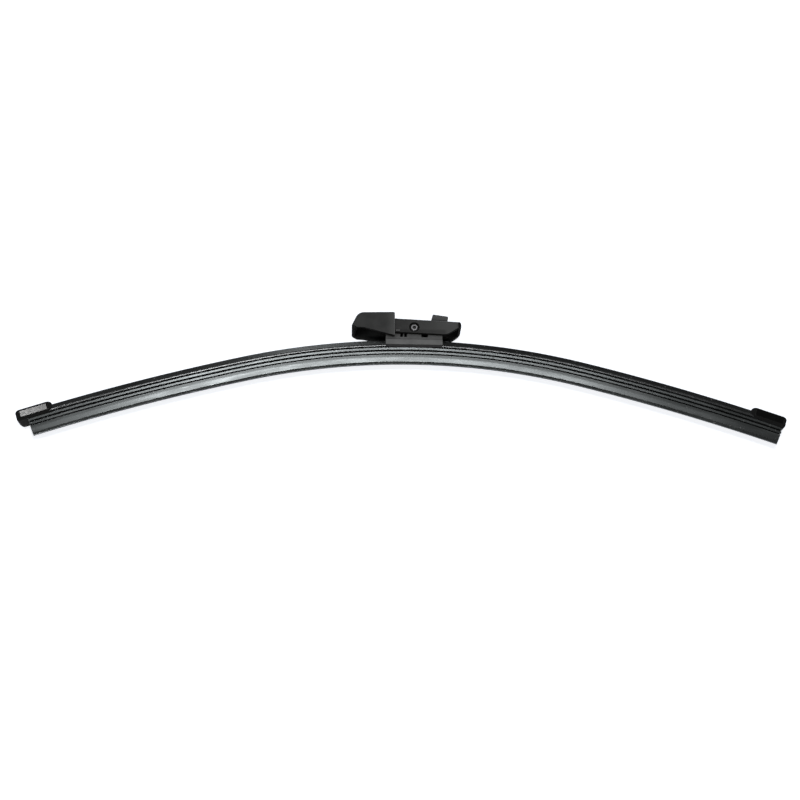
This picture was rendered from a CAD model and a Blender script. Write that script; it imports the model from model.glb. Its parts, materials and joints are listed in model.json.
import json
import math

import bpy
import numpy as np
from mathutils import Matrix, Vector


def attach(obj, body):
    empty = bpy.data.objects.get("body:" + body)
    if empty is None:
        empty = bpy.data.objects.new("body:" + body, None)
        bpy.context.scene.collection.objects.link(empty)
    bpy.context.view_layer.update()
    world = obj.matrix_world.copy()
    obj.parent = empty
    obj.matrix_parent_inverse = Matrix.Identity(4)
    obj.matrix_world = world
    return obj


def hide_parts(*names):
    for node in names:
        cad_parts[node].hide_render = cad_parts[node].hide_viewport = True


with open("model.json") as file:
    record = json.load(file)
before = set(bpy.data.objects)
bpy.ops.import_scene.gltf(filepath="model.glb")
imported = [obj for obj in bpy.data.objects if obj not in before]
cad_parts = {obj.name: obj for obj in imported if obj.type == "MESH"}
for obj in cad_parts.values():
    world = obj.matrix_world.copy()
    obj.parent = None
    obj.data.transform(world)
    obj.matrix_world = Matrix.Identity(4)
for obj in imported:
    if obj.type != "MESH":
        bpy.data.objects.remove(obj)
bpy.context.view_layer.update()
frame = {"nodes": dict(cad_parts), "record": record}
scene = bpy.context.scene
mm = 0.001

# The arch of the blade, seen from the side: a tighter middle and flatter ends.
reach_left = 169.4 * mm
reach_right = 165.0 * mm
arch_half = 76.0 * mm
arch_radius = 310.0 * mm
end_radius = 950.0 * mm
crown_drop = 4.95 * mm
station_step = 2.5 * mm

# The rubber's section: half widths, depths below the crown, and the rounding of its corners.
crown_half = 3.0 * mm
head_half = 3.4 * mm
slot_top = 2.3 * mm
slot_bottom = 3.2 * mm
web_half = 1.1 * mm
seat_top_half = 3.2 * mm
seat_half = 3.5 * mm
seat_side = 3.68 * mm
seat_foot_half = 3.095 * mm
seat_bottom = 4.48 * mm
groove_half = 1.3 * mm
shoulder_half = 3.35 * mm
shoulder_foot_half = 2.93 * mm
shoulder_top = 5.33 * mm
shoulder_bottom = 6.17 * mm
neck_half = 0.5 * mm
wedge_half = 2.6 * mm
wedge_top = 6.52 * mm
wedge_turn_half = 2.045 * mm
wedge_turn = 7.7 * mm
wedge_tip_half = 1.15 * mm
wedge_bottom = 9.35 * mm
lip_half = 0.38 * mm
lip_top = 10.0 * mm
lip_bottom = 10.3 * mm
crown_round = 0.4 * mm
edge_round = 0.25 * mm
foot_round = 0.1 * mm
lip_round = 0.06 * mm
wedge_round = 12.0 * mm
arc_steps = 5

# Places on the adapter that its finish follows, and the lengths over which its tone changes there.
hood_stop = -8.5 * mm
stop_fade = 0.05 * mm
hood_rub_start = -13.0 * mm
insert_rub_start = -6.0 * mm
insert_rub_end = 20.0 * mm
lug_foot = 4.4 * mm
lug_fade = 0.4 * mm
cheek_half = 6.25 * mm
nib_start = 0.05 * mm
nib_end = 0.2 * mm
nose_start = 13.0 * mm
nose_fade = 2.0 * mm
cheek_foot_dark = -1.8 * mm
cheek_foot_clear = -0.4 * mm

# Other sizes in the finishes: soft borders, the reach of a hollow, rounded edges and the depth of relief.
head_fade = 0.1 * mm
pin_hole_start = 0.75 * mm
pin_hole_end = 0.95 * mm
recess_reach = 8.0 * mm
clamp_edge = 0.22 * mm
adapter_edge = 0.18 * mm
cap_edge = 0.2 * mm
pin_edge = 0.12 * mm
rubber_relief = 0.0003 * mm
rail_relief = 0.0008 * mm
grain_relief = 0.004 * mm
cap_relief = 0.005 * mm
pin_relief = 0.015 * mm
noise_roughness = 0.55

# The photograph's view. The lens and the sensor are in millimetres.
view_centre = Vector((-5.92, -31.97, 0.0)) * mm
view_distance = 550.0 * mm
view_turn = math.radians(-2.046)
view_tilt = math.radians(21.235)
view_roll = math.radians(0.97)
lens = 57.16
sensor = 36.0
near_clip = 10.0 * mm

# The floor that the hood lies on, in metres, and its glow. A level of 1 is white.
floor_level = -7.0 * mm
floor_half = 4.0
floor_colour = (0.66, 0.71, 0.80, 1.0)
glow_near = 0.3
glow_far = 0.9
glow_by_blade = 0.70

# The sky. Its two heights are sines of the elevation.
sky_colour = (1.0, 1.0, 1.0, 1.0)
sky_white_to = 0.13
sky_dim_from = 0.19
sky_dim = 0.12

# Each lamp's name, place, target and width in metres, and its radiance.
lamps = (
    ("overhead_lamp", (0.0, -0.03, 0.65), (0.0, -0.03, 0.0), 0.15, 26.0),
    ("left_softbox", (-0.330, 0.168, 0.55), (-0.16, -0.04, 0.0), 0.042, 72.0),
    ("front_lamp", (-0.013, -0.328, 0.47), (-0.025, -0.03, 0.0), 0.06, 64.0),
    ("back_lamp", (-0.134, 0.586, 0.35), (-0.05, -0.01, 0.0), 0.08, 15.0),
    ("crown_lamp", (-0.092, 0.400, 0.438), (-0.045, -0.008, 0.0), 0.08, 4.0),
)


class Shade:
    """A shader socket in an expression. Each operator adds the Math node that works it out."""

    def __init__(self, sheet, socket):
        self.sheet = sheet
        self.socket = socket

    def math(self, operation, first, second):
        """The Math node of that operation on two values."""
        return self.sheet.node("ShaderNodeMath", {"operation": operation}, {0: first, 1: second})

    def __add__(self, other):
        return self.math("ADD", self, other)

    def __radd__(self, other):
        return self.math("ADD", other, self)

    def __sub__(self, other):
        return self.math("SUBTRACT", self, other)

    def __rsub__(self, other):
        return self.math("SUBTRACT", other, self)

    def __mul__(self, other):
        return self.math("MULTIPLY", self, other)

    def __rmul__(self, other):
        return self.math("MULTIPLY", other, self)


class Sheet:
    """A node tree that is written as expressions."""

    def __init__(self, tree):
        self.tree = tree

    def node(self, kind, settings=None, inputs=None, output=0):
        """Adds a node, sets it up, gives its sockets their values or links, and returns one output."""
        made = self.tree.nodes.new(kind)
        for name, value in (settings or {}).items():
            setattr(made, name, value)
        self.feed(made, inputs or {})
        return Shade(self, made.outputs[output])

    def feed(self, made, inputs):
        """Links the sockets of a node to shades and sets the others to plain values."""
        for name, value in inputs.items():
            if isinstance(value, Shade):
                self.tree.links.new(value.socket, made.inputs[name])
            else:
                made.inputs[name].default_value = value

    def place(self):
        """The point on the piece, in metres in the piece's own frame, which at rest is the blade's."""
        return self.node("ShaderNodeTexCoord", output="Object")

    def attribute(self, name):
        """A value that the mesh holds at each of its points."""
        return self.node("ShaderNodeAttribute", {"attribute_name": name}, output="Fac")

    def stretch(self, point, x, y, z):
        """The point with each axis multiplied, which sets the grain of a pattern along it."""
        return self.node("ShaderNodeVectorMath", {"operation": "MULTIPLY"}, {0: point, 1: (x, y, z)})

    def noise(self, point, scale, detail):
        """A cloudy value about 0.5, with scale cells to a metre of the point."""
        sizes = {"Vector": point, "Scale": scale, "Detail": detail, "Roughness": noise_roughness}
        return self.node("ShaderNodeTexNoise", {"noise_dimensions": "3D"}, sizes)

    def band(self, value, low, high, start=0.0, end=1.0):
        """A soft step: start below low, end above high."""
        limits = {"Value": value, "From Min": low, "From Max": high, "To Min": start, "To Max": end}
        return self.node("ShaderNodeMapRange", {"interpolation_type": "SMOOTHSTEP"}, limits)

    def fall(self, value, low, high):
        """A soft step down: 1 below low, 0 above high."""
        return self.band(value, low, high, start=1.0, end=0.0)

    def largest(self, first, *others):
        """The largest of several values."""
        for other in others:
            first = self.node("ShaderNodeMath", {"operation": "MAXIMUM"}, {0: first, 1: other})
        return first

    def length(self, vector):
        """How far a point is from the origin."""
        return self.node("ShaderNodeVectorMath", {"operation": "LENGTH"}, {0: vector}, "Value")

    def blend(self, share, first, second):
        """One colour turning into another."""
        return self.node("ShaderNodeMix", {"data_type": "RGBA"}, {0: share, 6: first, 7: second}, 2)

    def bump(self, height, depth, normal=None):
        """A relief of that depth in metres for a height of 1."""
        inputs = {"Height": height, "Distance": depth, "Strength": 1.0}
        if normal is not None:
            inputs["Normal"] = normal
        return self.node("ShaderNodeBump", inputs=inputs)

    def soft_edges(self, radius):
        """The normal with every edge rounded off."""
        return self.node("ShaderNodeBevel", {"samples": 6}, {"Radius": radius})

    def part_of(self, vector, axis):
        """One of the three numbers of a point or a direction."""
        return self.node("ShaderNodeSeparateXYZ", inputs={0: vector}, output=axis)

    def facing(self, axis):
        """How far the face looks along an axis of the blade's frame: 1 straight at it, -1 straight away."""
        return self.part_of(self.node("ShaderNodeNewGeometry", output="Normal"), axis)

    def recess(self):
        """1 in hollows that the open air within recess_reach doesn't get to, 0 on open faces."""
        air = self.node("ShaderNodeAmbientOcclusion", {"samples": 8}, {"Distance": recess_reach}, "AO")
        return self.fall(air, 0.45, 0.92)

    def edge_mask(self, rounded):
        """1 along the edges and 0 on the faces: how far the rounded normal leaves the face's own."""
        own = self.node("ShaderNodeNewGeometry", output="Normal")
        pair = {0: rounded, 1: own}
        agreement = self.node("ShaderNodeVectorMath", {"operation": "DOT_PRODUCT"}, pair, "Value")
        return self.band(1.0 - agreement, 0.01, 0.12)


class Finish(Sheet):
    """A material: a Principled shader and the nodes that lead to it."""

    def __init__(self, name):
        self.material = bpy.data.materials.new(name)
        self.material.use_nodes = True
        super().__init__(self.material.node_tree)
        self.shader = self.tree.nodes["Principled BSDF"]

    def wear(self, **sockets):
        """Feeds the shader's sockets, named with _ for a space, and returns the material."""
        for name, value in sockets.items():
            self.feed(self.shader, {name.replace("_", " ").title().replace("Ior", "IOR"): value})
        return self.material


def rubber_finish():
    """Black rubber with a dry grey bloom, fine lines along the extrusion, pale specks and smoother rubs.

    The head, above the rails' slot, is blacker and smoother than the rest.
    """
    black = (0.007, 0.0075, 0.0073, 1.0)
    bloom_grey = (0.014, 0.015, 0.0145, 1.0)
    head_black = (0.003, 0.003, 0.003, 1.0)
    speck_grey = (0.22, 0.22, 0.21, 1.0)
    cool_sheen = (0.92, 0.985, 1.0, 1.0)
    finish = Finish("blade_rubber")
    place = finish.place()
    along = finish.attribute("along")
    around = finish.attribute("around")
    skin = finish.node("ShaderNodeCombineXYZ", inputs={0: along, 1: around, 2: 0.0})
    lines = finish.noise(finish.stretch(skin, 14.0, 5200.0, 1.0), scale=1.0, detail=2.0)
    clouds = finish.noise(finish.stretch(skin, 55.0, 300.0, 1.0), scale=1.0, detail=1.0)
    streaks = finish.noise(finish.stretch(skin, 120.0, 700.0, 1.0), scale=1.0, detail=1.0)
    grain = finish.noise(place, scale=4200.0, detail=2.0)
    head = finish.fall(finish.attribute("depth"), slot_top - head_fade, slot_top + head_fade)
    specks = finish.band(finish.noise(place, scale=900.0, detail=1.0), 0.70, 0.76)
    bloom = finish.band(clouds, 0.35, 0.72)
    rubs = finish.band(streaks, 0.60, 0.78)
    colour = finish.blend(bloom, black, bloom_grey)
    colour = finish.blend(head * 0.6, colour, head_black)
    return finish.wear(
        base_color=finish.blend(specks * 0.35, colour, speck_grey),
        roughness=0.235 + bloom * 0.05 - rubs * 0.045 - head * 0.03,
        normal=finish.bump(lines * 0.5 + grain * 0.5, rubber_relief),
        specular_ior_level=0.75,
        specular_tint=cool_sheen,
    )


def rail_finish():
    """Spring steel under a thin dark coat that is worn in places, with drawn lines along the strip."""
    coat = (0.060, 0.062, 0.063, 1.0)
    worn_coat = (0.090, 0.092, 0.094, 1.0)
    finish = Finish("rail_steel")
    place = finish.place()
    drawn = finish.noise(finish.stretch(place, 60.0, 900.0, 4000.0), scale=1.0, detail=2.0)
    worn = finish.band(finish.noise(place, scale=260.0, detail=4.0), 0.45, 0.72)
    return finish.wear(
        base_color=finish.blend(worn, coat, worn_coat),
        metallic=0.8,
        roughness=0.19 + drawn * 0.05,
        normal=finish.bump(drawn, rail_relief),
    )


def clamp_finish():
    """Satin dark grey plastic with a fine spark-eroded grain, paler on its edges.

    It is darker in its hollows and on the faces that look towards the glass.
    """
    grey = (0.075, 0.077, 0.077, 1.0)
    pale_grey = (0.098, 0.100, 0.100, 1.0)
    edge_grey = (0.13, 0.13, 0.13, 1.0)
    hollow_black = (0.012, 0.012, 0.012, 1.0)
    under_black = (0.008, 0.008, 0.008, 1.0)
    finish = Finish("clamp_plastic")
    place = finish.place()
    grain = finish.noise(place, scale=3600.0, detail=3.0)
    clouds = finish.noise(place, scale=210.0, detail=3.0)
    rounded = finish.soft_edges(clamp_edge)
    edges = finish.edge_mask(rounded)
    under = finish.fall(finish.facing("Y"), -0.55, -0.25)
    colour = finish.blend(finish.band(clouds, 0.35, 0.70), grey, pale_grey)
    colour = finish.blend(edges * 0.3, colour, edge_grey)
    colour = finish.blend(finish.recess() * 0.9, colour, hollow_black)
    return finish.wear(
        base_color=finish.blend(under * 0.9, colour, under_black),
        roughness=0.46 + grain * 0.10 + under * 0.35,
        normal=finish.bump(grain, grain_relief, rounded),
    )


def adapter_finish():
    """Satin black plastic, paler towards the nose, on the lug and nibs and at the hood's stop edge.

    It is darker along its other edges, down the foot of the cheeks, on the faces that look towards the
    glass, at the nose's tip and in its hollows.
    """
    black = (0.024, 0.0246, 0.0245, 1.0)
    pale_black = (0.033, 0.0336, 0.0334, 1.0)
    rubbed_grey = (0.075, 0.0762, 0.0758, 1.0)
    bright_grey = (0.11, 0.11, 0.11, 1.0)
    hidden_black = (0.003, 0.003, 0.003, 1.0)
    finish = Finish("adapter_plastic")
    place = finish.place()
    along = finish.part_of(place, "X")
    height = finish.part_of(place, "Y")
    width = finish.node("ShaderNodeMath", {"operation": "ABSOLUTE"}, {0: finish.part_of(place, "Z")})
    end_on = finish.facing("X")

    insert = finish.band(along, hood_stop, hood_stop + stop_fade)
    hood = 1.0 - insert
    lug = finish.band(height, lug_foot, lug_foot + lug_fade) * insert
    nib = finish.band(width, cheek_half + nib_start, cheek_half + nib_end) * insert
    nose = finish.band(along, nose_start, nose_start + nose_fade)
    tip = finish.band(end_on, 0.25, 0.6) * nose * (1.0 - lug)
    foot = finish.fall(height, cheek_foot_dark, cheek_foot_clear) * insert * (1.0 - nose)
    stop_edge = finish.band(end_on, 0.4, 0.55) * finish.fall(end_on, 0.8, 0.95) * hood
    under = finish.fall(finish.facing("Y"), -0.6, -0.25)

    rubbed = insert * finish.band(along, insert_rub_start, insert_rub_end) * 0.62 + lug * 0.35
    rubbed = rubbed + hood * finish.band(along, hood_rub_start, hood_stop) * 0.55
    rounded = finish.soft_edges(adapter_edge)
    edges = finish.edge_mask(rounded) * (1.0 - stop_edge) * (1.0 - nib)
    hidden = finish.largest(edges * 0.6, under, finish.recess(), foot * 0.35, tip)

    grain = finish.noise(place, scale=3200.0, detail=3.0)
    clouds = finish.noise(place, scale=160.0, detail=3.0)
    colour = finish.blend(finish.band(clouds, 0.35, 0.70), black, pale_black)
    colour = finish.blend(rubbed, colour, rubbed_grey)
    colour = finish.blend(finish.largest(stop_edge, nib), colour, bright_grey)
    return finish.wear(
        base_color=finish.blend(hidden, colour, hidden_black),
        roughness=0.40 + grain * 0.12 + hidden * 0.5,
        normal=finish.bump(grain, grain_relief, rounded),
        specular_ior_level=0.15,
    )


def cap_finish():
    """Black plastic, glossy on its upper flat panel and matt round it, with a coarse moulded ripple."""
    black = (0.0012, 0.0012, 0.0012, 1.0)
    ripple_black = (0.0024, 0.0024, 0.0024, 1.0)
    edge_grey = (0.03, 0.03, 0.031, 1.0)
    finish = Finish("cap_plastic")
    place = finish.place()
    panel = finish.band(finish.facing("Z"), 0.95, 0.99)
    ripple = finish.noise(place, scale=900.0, detail=3.0)
    grain = finish.noise(place, scale=3600.0, detail=2.0)
    rounded = finish.soft_edges(cap_edge)
    edges = finish.edge_mask(rounded)
    colour = finish.blend(finish.band(ripple, 0.4, 0.7), black, ripple_black)
    return finish.wear(
        base_color=finish.blend(edges * 0.1, colour, edge_grey),
        roughness=0.9 - panel * 0.77 + ripple * 0.08 + grain * 0.04,
        normal=finish.bump(ripple * 0.8 + grain * 0.2, cap_relief, rounded),
        specular_ior_level=0.28,
    )


def pin_finish():
    """Dull turned steel with rings about its axis, tarnished in places and black in its drilled ends."""
    steel = (0.36, 0.36, 0.37, 1.0)
    tarnished_steel = (0.22, 0.22, 0.23, 1.0)
    hole_black = (0.01, 0.01, 0.01, 1.0)
    finish = Finish("pin_steel")
    place = finish.place()
    radius = finish.length(finish.stretch(place, 1.0, 1.0, 0.0))
    turning = {"W": radius * 9000.0, "Scale": 1.0, "Detail": 2.0}
    rings = finish.node("ShaderNodeTexNoise", {"noise_dimensions": "1D"}, turning)
    tarnish = finish.band(finish.noise(place, scale=700.0, detail=3.0), 0.4, 0.7)
    hole = finish.fall(radius, pin_hole_start, pin_hole_end)
    colour = finish.blend(tarnish, steel, tarnished_steel)
    return finish.wear(
        base_color=finish.blend(hole, colour, hole_black),
        metallic=1.0 - hole,
        roughness=0.28 + rings * 0.16,
        normal=finish.bump(rings, pin_relief, finish.soft_edges(pin_edge)),
    )


def dress_nodes():
    """Gives every CAD node the finish of its material slot, and returns the finishes."""
    finishes = {
        "rail_steel": rail_finish(),
        "clamp_plastic": clamp_finish(),
        "adapter_plastic": adapter_finish(),
        "cap_plastic": cap_finish(),
        "pin_steel": pin_finish(),
        "blade_rubber": rubber_finish(),
    }
    for subpart in frame["record"]["subparts"]:
        node = frame["nodes"][subpart["node"]]
        node.data.materials.clear()
        node.data.materials.append(finishes[subpart["material_slot"]])
    return finishes


def put_in_scene(name, data):
    """A new object with that mesh, lamp or camera."""
    made = bpy.data.objects.new(name, data)
    scene.collection.objects.link(made)
    return made


def arch_points(stations):
    """Points of the crown line and its outward normals at distances along the blade.

    The line is an arc of arch_radius up to arch_half from the middle, then an arc of end_radius that
    starts in the same direction. The two sides mirror each other.
    """
    side = np.sign(stations)
    middle = np.minimum(np.abs(stations), arch_half)
    turn = middle / arch_radius
    total = turn + (np.abs(stations) - middle) / end_radius
    across = arch_radius * np.sin(turn) + end_radius * (np.sin(total) - np.sin(turn))
    down = arch_radius * (np.cos(turn) - 1.0) + end_radius * (np.cos(total) - np.cos(turn))
    points = np.stack([side * across, down - crown_drop], axis=-1)
    normals = np.stack([side * np.sin(total), np.cos(total)], axis=-1)
    return points, normals


def rounded_half_section():
    """Points and outward normals of half of the rubber's section, from the crown down to the lip.

    Each corner of the polygon becomes an arc that touches both of its edges: its centre lies on the
    bisector, and the directions from that centre turn evenly from one edge's normal to the other's.
    A corner is given by its half width, its depth and the radius of its arc.
    """
    corners = np.array([
        (crown_half, 0.0, crown_round),
        (head_half, slot_top, edge_round),
        (web_half, slot_top, lip_round),
        (web_half, slot_bottom, lip_round),
        (seat_top_half, slot_bottom, foot_round),
        (seat_half, seat_side, edge_round),
        (seat_foot_half, seat_bottom, foot_round),
        (groove_half, seat_bottom, edge_round),
        (groove_half, shoulder_top, edge_round),
        (shoulder_half, shoulder_top, foot_round),
        (shoulder_foot_half, shoulder_bottom, foot_round),
        (neck_half, shoulder_bottom, lip_round),
        (neck_half, wedge_top, lip_round),
        (wedge_half, wedge_top, foot_round),
        (wedge_turn_half, wedge_turn, wedge_round),
        (wedge_tip_half, wedge_bottom, edge_round),
        (lip_half, lip_top, foot_round),
        (lip_half, lip_bottom, lip_round),
    ])
    radii = corners[:, 2:]
    corners = corners[:, :2] * (1.0, -1.0)
    chain = np.vstack([(0.0, 0.0), corners, (0.0, -lip_bottom)])
    back = chain[:-2] - corners
    ahead = chain[2:] - corners
    back /= np.linalg.norm(back, axis=1, keepdims=True)
    ahead /= np.linalg.norm(ahead, axis=1, keepdims=True)
    bisector = back + ahead
    bisector /= np.linalg.norm(bisector, axis=1, keepdims=True)
    half_angle = np.arccos(np.sum(back * bisector, axis=1, keepdims=True))
    centres = corners + bisector * radii / np.sin(half_angle)
    tangent = radii / np.tan(half_angle)
    first = (corners + back * tangent - centres) / radii
    last = (corners + ahead * tangent - centres) / radii
    sweep = (np.pi - 2.0 * half_angle)[:, None]
    share = np.linspace(0.0, 1.0, arc_steps)[None, :, None]
    leaving = np.sin((1.0 - share) * sweep) * first[:, None]
    arriving = np.sin(share * sweep) * last[:, None]
    spokes = (leaving + arriving) / np.sin(sweep)
    points = centres[:, None] + spokes * radii[:, None]
    convex = np.sign(back[:, 0] * ahead[:, 1] - back[:, 1] * ahead[:, 0])[:, None, None]
    return points.reshape(-1, 2), (spokes * convex).reshape(-1, 2)


def carried(section, outward):
    """The section's (width, height) pairs as vectors at every station of the arch.

    Height lies along the arch's outward normal there, and width lies sideways, along Z.
    """
    upright = outward[:, None] * section[None, :, 1:]
    sideways = np.broadcast_to(section[:, 0], upright.shape[:2])
    return np.dstack([upright, sideways])


def rubber_faces(count, ring):
    """Quads of the skin and of the two ends, for count stations of ring points each.

    A quad of the skin joins a step round one station to the same step round the next. A quad of an end
    joins a step down the right half of the section to its mirror image on the left half.
    """
    index = np.arange(count * ring).reshape(count, ring)
    following = np.roll(index, -1, axis=1)
    skin = np.stack([index[:-1], following[:-1], following[1:], index[1:]], axis=-1).reshape(-1, 4)
    right = np.arange(ring // 2 - 1)
    left = ring - 1 - right
    start = np.stack([index[0][left], index[0][left - 1], index[0][right + 1], index[0][right]], axis=-1)
    end = np.stack([index[-1][right], index[-1][right + 1], index[-1][left - 1], index[-1][left]], axis=-1)
    return skin, start, end


def rubber():
    """The rubber: the rounded section, mirrored to both sides, carried along the arch and closed.

    A point of the section at (width, height) sits at the crown point, moved by height along the arch's
    outward normal and by width sideways.
    """
    half, half_normals = rounded_half_section()
    mirror = (-1.0, 1.0)
    section = np.vstack([half, half[::-1] * mirror])
    section_normals = np.vstack([half_normals, half_normals[::-1] * mirror])
    ring = len(section)
    count = round((reach_left + reach_right) / station_step) + 1
    stations = np.linspace(-reach_left, reach_right, count)
    crown, outward = arch_points(stations)
    points = carried(section, outward)
    points[:, :, :2] += crown[:, None]
    skin, start, end = rubber_faces(count, ring)
    faces = np.vstack([skin, start, end])

    mesh = bpy.data.meshes.new("rubber_profile")
    mesh.from_pydata(points.reshape(-1, 3).tolist(), [], faces.tolist())
    mesh.polygons.foreach_set("use_smooth", np.ones(len(faces), bool))
    skin_normals = carried(section_normals, outward).reshape(-1, 3)[skin.ravel()]
    tangents = np.stack([outward[:, 1], -outward[:, 0], np.zeros(count)], axis=-1)
    start_normals = np.tile(-tangents[0], (start.size, 1))
    end_normals = np.tile(tangents[-1], (end.size, 1))
    mesh.normals_split_custom_set(np.vstack([skin_normals, start_normals, end_normals]).tolist())

    steps = np.linalg.norm(np.diff(section, axis=0, prepend=section[:1]), axis=1)
    patterns = {
        "along": np.repeat(stations, ring),
        "around": np.tile(np.cumsum(steps), count),
        "depth": np.tile(-section[:, 1], count),
    }
    for name, values in patterns.items():
        mesh.attributes.new(name, "FLOAT", "POINT").data.foreach_set("value", values)
    mesh.validate()
    return put_in_scene("rubber_profile", mesh)


def floor_finish():
    """A matt pale floor that glows for camera, glossy and transmission rays, so that it shows as white.

    The glow is a little weaker by the blade, where the lamps light the floor as well.
    """
    material = bpy.data.materials.new("white_floor")
    material.use_nodes = True
    material.cycles.emission_sampling = "NONE"
    sheet = Sheet(material.node_tree)
    sheet.tree.nodes.remove(sheet.tree.nodes["Principled BSDF"])
    rays = ("Is Camera Ray", "Is Glossy Ray", "Is Transmission Ray")
    camera, glossy, through = [sheet.node("ShaderNodeLightPath", output=ray) for ray in rays]
    level = sheet.band(sheet.length(sheet.place()), glow_near, glow_far, start=glow_by_blade, end=1.0)
    lit = sheet.node("ShaderNodeBsdfDiffuse", inputs={"Color": floor_colour})
    glow = sheet.node("ShaderNodeEmission", inputs={"Strength": (camera + glossy + through) * level})
    both = sheet.node("ShaderNodeAddShader", inputs={0: lit, 1: glow})
    sheet.feed(sheet.tree.nodes["Material Output"], {"Surface": both})
    return material


def white_floor():
    """A wide square floor that keeps the blade's shadow."""
    corners = np.array([(-1, -1), (1, -1), (1, 1), (-1, 1)]) * floor_half
    mesh = bpy.data.meshes.new("floor")
    mesh.from_pydata([(x, y, floor_level) for x, y in corners], [], [(0, 1, 2, 3)])
    mesh.materials.append(floor_finish())
    floor = put_in_scene("floor", mesh)


def studio_sky():
    """White at the horizon and dim above, as round a white table in a darker room."""
    world = bpy.data.worlds.new("studio")
    world.use_nodes = True
    scene.world = world
    sheet = Sheet(world.node_tree)
    height = sheet.part_of(sheet.node("ShaderNodeTexCoord", output="Generated"), "Z")
    strength = sheet.band(height, sky_white_to, sky_dim_from, start=1.0, end=sky_dim)
    sheet.feed(sheet.tree.nodes["Background"], {"Color": sky_colour, "Strength": strength})


def lamp(name, place, target, size, radiance):
    """A square lamp of that radiance that faces its target and that the camera doesn't see.

    A flat lamp's power is pi times its area times its radiance.
    """
    light = bpy.data.lights.new(name, "AREA")
    light.size = size
    light.energy = math.pi * size * size * radiance
    lit = put_in_scene(name, light)
    lit.location = place
    lit.rotation_mode = "QUATERNION"
    lit.rotation_quaternion = (target - place).to_track_quat("-Z", "Y")
    lit.visible_camera = False


def photograph_camera():
    """Looks down on the blade, tilted towards the side of the glass, with the photograph's small roll."""
    toward = Vector((math.tan(view_turn), -math.tan(view_tilt), 1.0)).normalized()
    right = (Vector((1, 0, 0)) - toward * toward.x).normalized()
    up = toward.cross(right)
    turned = right * math.cos(view_roll) + up * math.sin(view_roll)
    upward = up * math.cos(view_roll) - right * math.sin(view_roll)
    place = Matrix((turned, upward, toward)).transposed().to_4x4()
    place.translation = view_centre + toward * view_distance
    camera = bpy.data.cameras.new("photograph")
    camera.lens = lens
    camera.sensor_width = sensor
    camera.clip_start = near_clip
    taken = put_in_scene("photograph", camera)
    taken.matrix_world = place
    scene.camera = taken


finishes = dress_nodes()
blade_rubber = rubber()
blade_rubber.data.materials.append(finishes["blade_rubber"])
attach(blade_rubber, "blade")
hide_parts("wiper_rubber")

white_floor()
studio_sky()
for name, place, target, size, radiance in lamps:
    lamp(name, Vector(place), Vector(target), size, radiance)
photograph_camera()

scene.view_settings.view_transform = "Standard"
